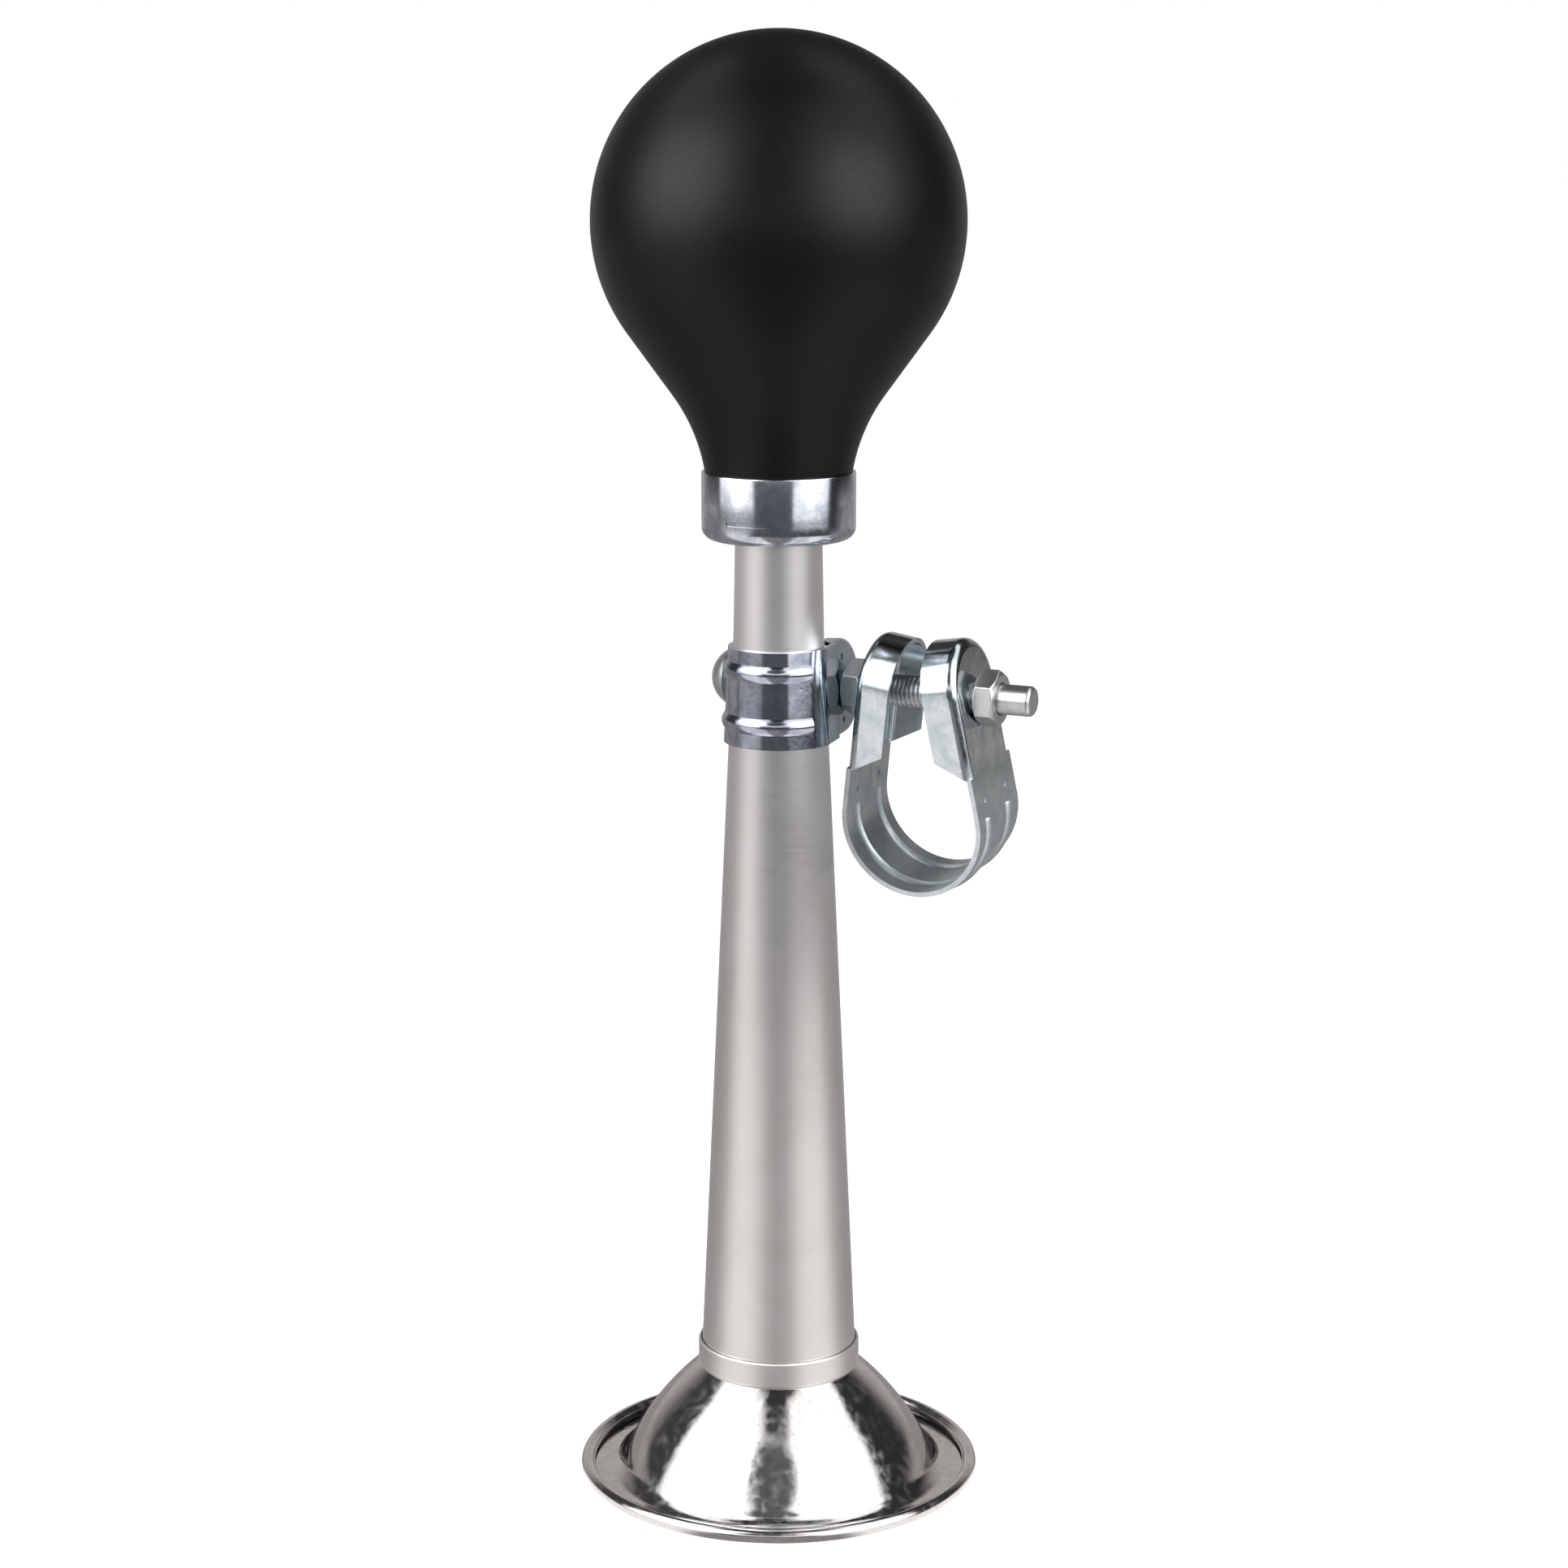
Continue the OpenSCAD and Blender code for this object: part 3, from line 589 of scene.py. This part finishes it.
def soften(node_name, name, round_mm, angle=35):
    """Copies a CAD piece and rounds its edges that are sharper than the angle, in degrees."""
    choose(frame["nodes"][node_name])
    bpy.ops.object.duplicate()
    piece = bpy.context.object
    piece.name = name
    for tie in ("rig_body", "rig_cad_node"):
        del piece[tie]
    bpy.ops.object.parent_clear(type="CLEAR_KEEP_TRANSFORM")
    bpy.ops.object.mode_set(mode="EDIT")
    bpy.ops.mesh.select_all(action="SELECT")
    bpy.ops.mesh.customdata_custom_splitnormals_clear()
    bpy.ops.mesh.remove_doubles(threshold=MERGE_GAP)
    bpy.ops.mesh.dissolve_limited(angle_limit=math.radians(flat_angle))
    bpy.ops.object.mode_set(mode="OBJECT")
    bevel = piece.modifiers.new("edges", "BEVEL")
    bevel.width = round_mm * MM
    bevel.segments = 2
    bevel.limit_method = "ANGLE"
    bevel.angle_limit = math.radians(angle)
    bpy.ops.object.modifier_apply(modifier=bevel.name)
    smooth(piece)
    flats = piece.modifiers.new("flats", "WEIGHTED_NORMAL")
    flats.keep_sharp = True
    bpy.ops.object.modifier_apply(modifier=flats.name)
    piece.data.materials.clear()
    return piece


def plate(name, material):
    """Gives a CAD piece that stays as it is its finish."""
    mesh = frame["nodes"][name].data
    mesh.materials.clear()
    mesh.materials.append(material)
    print(name, "in", material.name)


# %% The two straps
strap_edge_r = 0.14
plate("horn_strap", band_zinc)
bar_strap = soften("handlebar_strap", "handlebar_band", strap_edge_r)
bar_strap.data.materials.append(loop_zinc)
fit(bar_strap, "handlebar_strap", "zinc", "handlebar_strap")


# %% [markdown]
# ## The bolt and its nuts
# One long bolt passes behind the tube through both straps. Its head is a low dome on a square neck,
# and its shank carries a thread. Rings would be quicker to make than a thread, but they don't climb,
# and the eye sees it. So the thread is one ridge taken round the shank by the Screw modifier, as a
# lathe tool cuts it, and capped where it starts and stops.

# %% Bolt sizes
bolt_r = 2.5
head_r = 4.8
head_h = 3.6
neck_w = 4.8
neck_len = 5.4
bolt_len = 52
pitch = 0.8
thread_depth = 0.1
thread_start = 11
thread_end = 45.4
tip_round = 0.7

bolt_tip_x = high("clamp_bolt", X)
head_x = bolt_tip_x - bolt_len
dome_r = (head_r ** 2 + head_h ** 2) / (2 * head_h)
dome_edge = math.degrees(math.asin((dome_r - head_h) / dome_r))
core_r = bolt_r - thread_depth
edge_round = 0.25
brim = 0.1
bolt_centre = Vector((head_x, bolt_y, bolt_z)) * MM
print("bolt from", round(head_x - head_h, 2), "to", round(bolt_tip_x, 2), "mm")

# %% Head and shank
bolt_axis = {"along": (1, 0, 0), "out": (0, 0, 1)}
head_outline = arc((0, dome_r - head_h), dome_r, 270, 360 - dome_edge, 24)[:-1]
head_outline += [(head_r - brim, -edge_round), (head_r - brim / 2, -brim)]
head_outline += [(head_r - edge_round, 0), (0, 0)]
head = turn("bolt_head", head_outline, steps=96, centre=bolt_centre, **bolt_axis)

shank_outline = [(0, 0), (bolt_r, 0), (bolt_r, thread_start - pitch)]
shank_outline += [(core_r, thread_start + pitch / 2)]
shank_outline += arc((core_r - tip_round, bolt_len - tip_round), tip_round, 0, 90, 6)
shank_outline += [(0, bolt_len)]
shank = turn("bolt_shank", shank_outline, steps=64, centre=bolt_centre, **bolt_axis)
print("head and shank:", len(head.data.polygons), "and", len(shank.data.polygons), "faces")

# %% Square neck
deselect()
bpy.ops.mesh.primitive_cube_add(size=1, location=bolt_centre + Vector((neck_len / 2, 0, 0)) * MM)
neck = bpy.context.object
neck.name = "bolt_neck"
bpy.ops.transform.resize(value=Vector((neck_len, neck_w, neck_w)) * MM)
bpy.ops.object.transform_apply(location=True, scale=True)
neck_bevel = neck.modifiers.new("edges", "BEVEL")
neck_bevel.width = edge_round * MM
neck_bevel.segments = 3
bpy.ops.object.modifier_apply(modifier=neck_bevel.name)
smooth(neck)
print("square neck:", neck_w, "mm wide")

# %% Thread
turns = int((thread_end - thread_start) / pitch) - 1
crest = pitch / 8
root = pitch / 2
sunk_r = core_r - 0.15
profile = [(sunk_r, -root), (core_r, -root), (bolt_r, -crest)]
profile += [(r, -h) for r, h in reversed(profile)]
deselect()
thread_centre = bolt_centre + Vector((thread_start + pitch, 0, 0)) * MM
bpy.ops.mesh.primitive_plane_add(size=MM, location=thread_centre)
thread = bpy.context.object
thread.name = "bolt_thread"
bpy.ops.object.mode_set(mode="EDIT")
bpy.ops.mesh.merge(type="CENTER")
corners = [Vector((h, 0, r)) * MM for r, h in profile]
bpy.ops.transform.translate(value=corners[0])
for here, there in zip(corners, corners[1:] + corners[:1]):
    bpy.ops.mesh.extrude_vertices_move(TRANSFORM_OT_translate={"value": there - here})
bpy.ops.mesh.select_all(action="SELECT")
bpy.ops.mesh.remove_doubles(threshold=MERGE_GAP)
bpy.ops.object.mode_set(mode="OBJECT")
screw = thread.modifiers.new("thread", "SCREW")
screw.axis = "X"
screw.screw_offset = pitch * MM
screw.iterations = turns
screw.steps = 32
screw.render_steps = 32
bpy.ops.object.modifier_apply(modifier=screw.name)
bpy.ops.object.transform_apply(location=True)
bpy.ops.object.mode_set(mode="EDIT")
bpy.ops.mesh.select_all(action="SELECT")
bpy.ops.mesh.fill_holes(sides=0)
bpy.ops.mesh.normals_make_consistent(inside=False)
bpy.ops.object.mode_set(mode="OBJECT")
smooth(thread, 25)
print("thread of", turns, "turns")

# %% Join the bolt
choose(head)
for piece in (shank, neck, thread):
    piece.select_set(True)
bpy.ops.object.join()
bolt = bpy.context.object
bolt.name = "bolt_with_thread"
bolt.data.materials.clear()
bolt.data.materials.append(bolt_steel)
fit(bolt, "clamp", "zinc", "clamp_bolt")

# %% [markdown]
# ### The nuts
# A six-sided cylinder would do from far off, but the chamfers that turn a nut's corners into arcs
# show here. The CAD nuts have them, so they are copied and get the small bevel of the strap.

# %% Nuts
nut_edge_r = 0.12
nuts = (("inner_nut", "lock_nut", "clamp"), ("outer_nut", "draw_nut", "outer_nut"))
for node_name, name, body in nuts:
    nut = soften(node_name, name, nut_edge_r, angle=25)
    nut.data.materials.append(bolt_steel)
    fit(nut, body, "zinc", node_name)


# %% [markdown]
# ## The reed
# The brass reed is hidden in the bulb's neck. Its CAD shapes are already those of the real pieces,
# so they stay, and only get their finish.

# %% Reed
for name in ("reed_socket", "reed_shallot", "reed_ring", "reed_tongue"):
    plate(name, brass)


# %% [markdown]
# ## The camera
# The horn was photographed from the height of the bulb, with the clamp turned 26 degrees to the left
# of square. The bell's rim, the ring and the collar are circles, so how flat each one looks tells the
# camera's height, distance and dip: half a metre away, looking down by 12 degrees through a long
# lens. Moving the camera by eye would fit one circle and miss the others. The small shift puts the
# horn's axis where the photograph has it.

# %% Camera
camera_distance = 0.5283
camera_height = 0.2271
camera_dip = 12.01
focal_pixels = 4200
image_pixels = 1932
axis_pixel = 959.5
sensor = 36

facing = math.radians(camera_turn)
towards_camera = Vector((math.sin(facing), -math.cos(facing), 0))
camera_data = bpy.data.cameras.new("camera")
camera = bpy.data.objects.new("camera", camera_data)
bpy.context.collection.objects.link(camera)
camera.location = towards_camera * camera_distance + Vector((0, 0, camera_height))
camera.rotation_euler = (math.radians(90 - camera_dip), 0, facing)
camera_data.sensor_width = sensor
camera_data.lens = sensor * focal_pixels / image_pixels
camera_data.shift_x = (image_pixels / 2 - axis_pixel) / image_pixels
camera_data.clip_start = 0.01
bpy.context.scene.camera = camera
print("lens", round(camera_data.lens, 1), "mm")


# %% [markdown]
# ## The studio
# The horn stands on white, in plain soft light. The world is white where it is looked at directly and
# weaker as a light, so that the metal keeps its darks. The floor is matt with a glow that only direct
# looks see, which makes it white as well and leaves the horn's soft shadow on it.

# %% World and floor
bpy.context.scene.view_settings.view_transform = "Standard"


def seen_directly(tree):
    """1 for rays that come straight from the camera, a mirror or a clear piece, else 0."""
    path = node(tree, "ShaderNodeLightPath").outputs
    first = total(tree, path["Is Camera Ray"], path["Is Glossy Ray"])
    values = {0: first, 1: path["Is Transmission Ray"]}
    return node(tree, "ShaderNodeMath", values, use_clamp=True).outputs[0]


world = bpy.data.worlds.new("white_room")
bpy.context.scene.world = world
world.use_nodes = True
world_tree = world.node_tree
background = world_tree.nodes["Background"]
background.inputs["Color"].default_value = (1, 1, 1, 1)
ambient = 0.5
strength = spread(world_tree, seen_directly(world_tree), 0, 1, ambient, 1.0)
world_tree.links.new(strength, background.inputs["Strength"])

floor_size = 12
floor_grey = (0.6, 0.6, 0.6, 1)
floor_glow = 0.71
deselect()
bpy.ops.mesh.primitive_plane_add(size=floor_size)
floor = bpy.context.object
floor.name = "floor"
bpy.ops.object.mode_set(mode="EDIT")
bpy.ops.mesh.subdivide(number_cuts=3)
bpy.ops.object.mode_set(mode="OBJECT")
floor_material = bpy.data.materials.new("white_floor")
floor_material.use_nodes = True
floor_tree = floor_material.node_tree
floor_tree.nodes.remove(floor_tree.nodes["Principled BSDF"])
matt = node(floor_tree, "ShaderNodeBsdfDiffuse", {"Color": floor_grey})
glow_level = spread(floor_tree, seen_directly(floor_tree), 0, 1, 0.0, floor_glow)
glow = node(floor_tree, "ShaderNodeEmission", {"Strength": glow_level})
matt_and_glow = node(floor_tree, "ShaderNodeAddShader", {0: matt.outputs[0], 1: glow.outputs[0]})
floor_tree.links.new(matt_and_glow.outputs[0], floor_tree.nodes["Material Output"].inputs["Surface"])
floor.data.materials.append(floor_material)
floor_material.cycles.emission_sampling = "NONE"
print("world and floor ready, ambient", ambient)


# %% [markdown]
# ### The lamps
# Two soft square lamps stand where the two lighter patches on the rubber ball point. A sun or a small
# lamp would draw hard shadows that the photograph doesn't have. Mirrors don't see the lamps, because
# the tent below shows them the panels that belong there.

# %% Lamps
lamp_size = 0.8
lamp_watts = 5.5
lamp_aim_z = 0.11
lamp_distance = 1.0


def aim(azimuth, elevation):
    """The direction at an azimuth from the camera's side and an elevation, in degrees."""
    turned = math.radians(camera_turn + azimuth)
    raised = math.radians(elevation)
    flat = math.cos(raised)
    return Vector((math.sin(turned) * flat, -math.cos(turned) * flat, math.sin(raised)))


def lamp(name, azimuth, elevation):
    """A soft square lamp that faces the horn's middle."""
    direction = aim(azimuth, elevation)
    data = bpy.data.lights.new(name, "AREA")
    data.size = lamp_size
    data.energy = lamp_watts
    made = bpy.data.objects.new(name, data)
    bpy.context.collection.objects.link(made)
    made.location = Vector((0, 0, lamp_aim_z)) + direction * lamp_distance
    made.rotation_euler = direction.to_track_quat("Z", "Y").to_euler()
    made.visible_camera = False
    made.visible_glossy = False


lamp("left_lamp", -70, 36)
lamp("right_lamp", 53, 32)
print("two lamps of", lamp_watts, "watts")


# %% [markdown]
# ## The tent
# The chrome tells what stood round the horn: two wide white panels, left and right of the camera,
# with a dark slit between them, the camera's own dark shape in the middle, a room that is darker at
# the sides, and a grey wall behind. A photographed surround would need a picture file, and real
# panels would light the horn as well. So a half sphere that only reflections see plays that part, and
# node maths paints it by direction: front is towards the camera, side is to its right.

# %% Tent
tent_r = 0.9
tent_floor_z = 0.0002

deselect()
bpy.ops.mesh.primitive_uv_sphere_add(segments=64, ring_count=32, radius=tent_r)
tent = bpy.context.object
tent.name = "tent"
bpy.ops.object.mode_set(mode="EDIT")
bpy.ops.mesh.select_all(action="SELECT")
table_plane = {"plane_co": (0, 0, tent_floor_z), "plane_no": (0, 0, 1)}
bpy.ops.mesh.bisect(**table_plane, clear_inner=True, use_fill=True)
bpy.ops.object.mode_set(mode="OBJECT")
tent_material = bpy.data.materials.new("tent_cloth")
tent_material.use_nodes = True
tree = tent_material.node_tree
tree.nodes.remove(tree.nodes["Principled BSDF"])

# %% Directions
place = node(tree, "ShaderNodeTexCoord").outputs["Object"]
direction = node(tree, "ShaderNodeVectorMath", {0: place}, operation="NORMALIZE").outputs[0]


def part_along(axis):
    values = {0: direction, 1: axis}
    return node(tree, "ShaderNodeVectorMath", values, operation="DOT_PRODUCT").outputs["Value"]


def math_node(operation, first, second=0.0):
    return node(tree, "ShaderNodeMath", {0: first, 1: second}, operation=operation).outputs[0]


def add(first, second):
    return math_node("ADD", first, second)


def both(first, second):
    """The part that two masks share."""
    return math_node("MULTIPLY", first, second)


def either(first, second):
    return math_node("MAXIMUM", first, second)


def without(mask):
    return math_node("SUBTRACT", 1.0, mask)


def step(value, start, end):
    """A mask that goes softly from 0 at start to 1 at end."""
    values = {0: value, 1: start, 2: end}
    return node(tree, "ShaderNodeMapRange", values, interpolation_type="SMOOTHSTEP").outputs[0]


def left_or_right(left, right):
    return node(tree, "ShaderNodeMix", {0: on_right, 2: left, 3: right}, data_type="FLOAT").outputs[0]


def round_patch(azimuth, elevation, radius, soft):
    """A round mask at a place in degrees, with its radius and soft edge in degrees too."""
    edge = [math.cos(math.radians(radius + d)) for d in (soft, -soft)]
    return step(part_along(aim(azimuth, elevation)), *edge)


middle_width = 0.2
front = part_along(aim(0, 0))
side = part_along(aim(90, 0))
up = part_along((0, 0, 1))
on_right = step(side, -middle_width, middle_width)
print("tent of", tent_r, "m")

# %% [markdown]
# ### Shapes on the tent
# Each shape is a mask, and most of them are two soft steps multiplied: one across and one up. A pair
# of numbers holds where a step starts and where it ends, as shares of the tent's radius, so the
# distance between the two is the softness of that edge.

# %% The dark shapes between the panels
slit_centre = -0.035
slit_sides = (0.2, 0.12)
slit_foot = (0.76, 0.86)
low_gap_centre = -0.12
low_gap_sides = (0.53, 0.43)
low_gap_top = (0.36, 0.2)

off_middle = math_node("ABSOLUTE", add(side, -slit_centre))
off_gap = math_node("ABSOLUTE", add(side, -low_gap_centre))
slit = both(step(off_middle, *slit_sides), step(up, *slit_foot))
low_gap = both(step(off_gap, *low_gap_sides), step(up, *low_gap_top))
camera_shape = round_patch(azimuth=-6, elevation=40, radius=16.5, soft=2.5)
top_gap = round_patch(azimuth=0, elevation=90, radius=18, soft=2)
dark = either(either(slit, camera_shape), either(top_gap, low_gap))
print("dark slit", slit_centre, "from the middle, gap", low_gap_centre)

# %% The panels
# Each panel's outer edge leans with the height, and more so near the roof. The left panel ends higher
# above the table, with a faint strip under it, and each has a hot spot near its lamp.
panel_level = 1.35
hot_level = 6.5
panel_soft = 0.06
edge_height = 0.31
left_edge = -0.116
left_lean = -0.1
right_edge = 0.125
right_lean = -0.45
roof_height = 0.67
roof_lean = 1.4
left_foot = (0.05, 0.13)
right_foot = (0.042, 0.056)
strip_top = (0.046, 0.038)
strip_share = 0.32

rise = add(up, -edge_height)
edge_on_left = add(both(rise, left_lean), left_edge)
edge_on_right = add(both(rise, right_lean), right_edge)
near_roof = both(either(add(up, -roof_height), 0.0), roof_lean)
past_edge = add(math_node("SUBTRACT", front, left_or_right(edge_on_left, edge_on_right)), near_roof)
faint_strip = both(step(up, *strip_top), strip_share)
above_foot = left_or_right(either(step(up, *left_foot), faint_strip), step(up, *right_foot))
panel = both(step(past_edge, -panel_soft, panel_soft), above_foot)
panel = both(panel, without(dark))
left_hot = round_patch(azimuth=-62, elevation=34, radius=17, soft=14)
right_hot = round_patch(azimuth=50, elevation=32, radius=14, soft=14)
level = add(both(either(left_hot, right_hot), hot_level - panel_level), panel_level)
cloth = node(tree, "ShaderNodeCombineColor", {0: level, 1: level, 2: level}).outputs[0]
print("panels of level", panel_level, "with hot spots of", hot_level)

# %% The room
left_dark = (0.05, 0.05, 0.05, 1)
right_dark = (0.03, 0.03, 0.031, 1)
lens_dark = (0.11, 0.112, 0.12, 1)
gap_dark = (0.04, 0.037, 0.037, 1)
wall_grey = (0.46, 0.43, 0.42, 1)
gap_foot = (0.82, 0.88)
wall_front = (-0.5, -0.9)
wall_top = (0.62, 0.42)
low_wall_front = (0.05, -0.35)
low_wall_top = (0.16, 0.06)
low_wall_share = 0.8

wall = both(step(front, *wall_front), step(up, *wall_top))
low_wall = both(step(front, *low_wall_front), step(up, *low_wall_top))
room = blend(tree, on_right, left_dark, right_dark)
room = blend(tree, dark, room, lens_dark)
room = blend(tree, step(up, *gap_foot), room, gap_dark)
room = blend(tree, either(wall, both(low_wall, low_wall_share)), room, wall_grey)
surround = blend(tree, panel, room, cloth)
print("room with a grey wall behind the horn")

# %% The table
# The panels light the table in front, and beyond its edge the room shows again. The places of its
# edge and its top are in metres.
table_grey = (0.3, 0.283, 0.28, 1)
table_light = (1.08, 1.04, 1.03, 1)
table_edge = (0.4, 0.45)
far_front = (-0.1, 0.2)
lit_front = (-0.04, 0.2)
lit_sides = (0.33, 0.5)
lit_spread = 0.25
table_top = (0.001, 0.0005)

reach = node(tree, "ShaderNodeVectorMath", {0: place}, operation="LENGTH").outputs["Value"]
beyond = step(reach, *table_edge)
far = both(beyond, step(front, *far_front))
lit = step(math_node("SUBTRACT", off_middle, both(beyond, lit_spread)), *lit_sides)
lit = both(both(lit, step(front, *lit_front)), without(both(far, on_right)))
table = blend(tree, far, table_grey, room)
table = blend(tree, lit, table, table_light)
colour = blend(tree, step(place_along(tree, "Z"), *table_top), surround, table)
tent_glow = node(tree, "ShaderNodeEmission", {"Color": colour, "Strength": 1.0})
tree.links.new(tent_glow.outputs[0], tree.nodes["Material Output"].inputs["Surface"])
tent.data.materials.append(tent_material)
tent_material.cycles.emission_sampling = "NONE"
tent.visible_camera = False
tent.visible_diffuse = False
tent.visible_shadow = False
tent.visible_transmission = False
print("tent painted by", len(tree.nodes), "nodes")
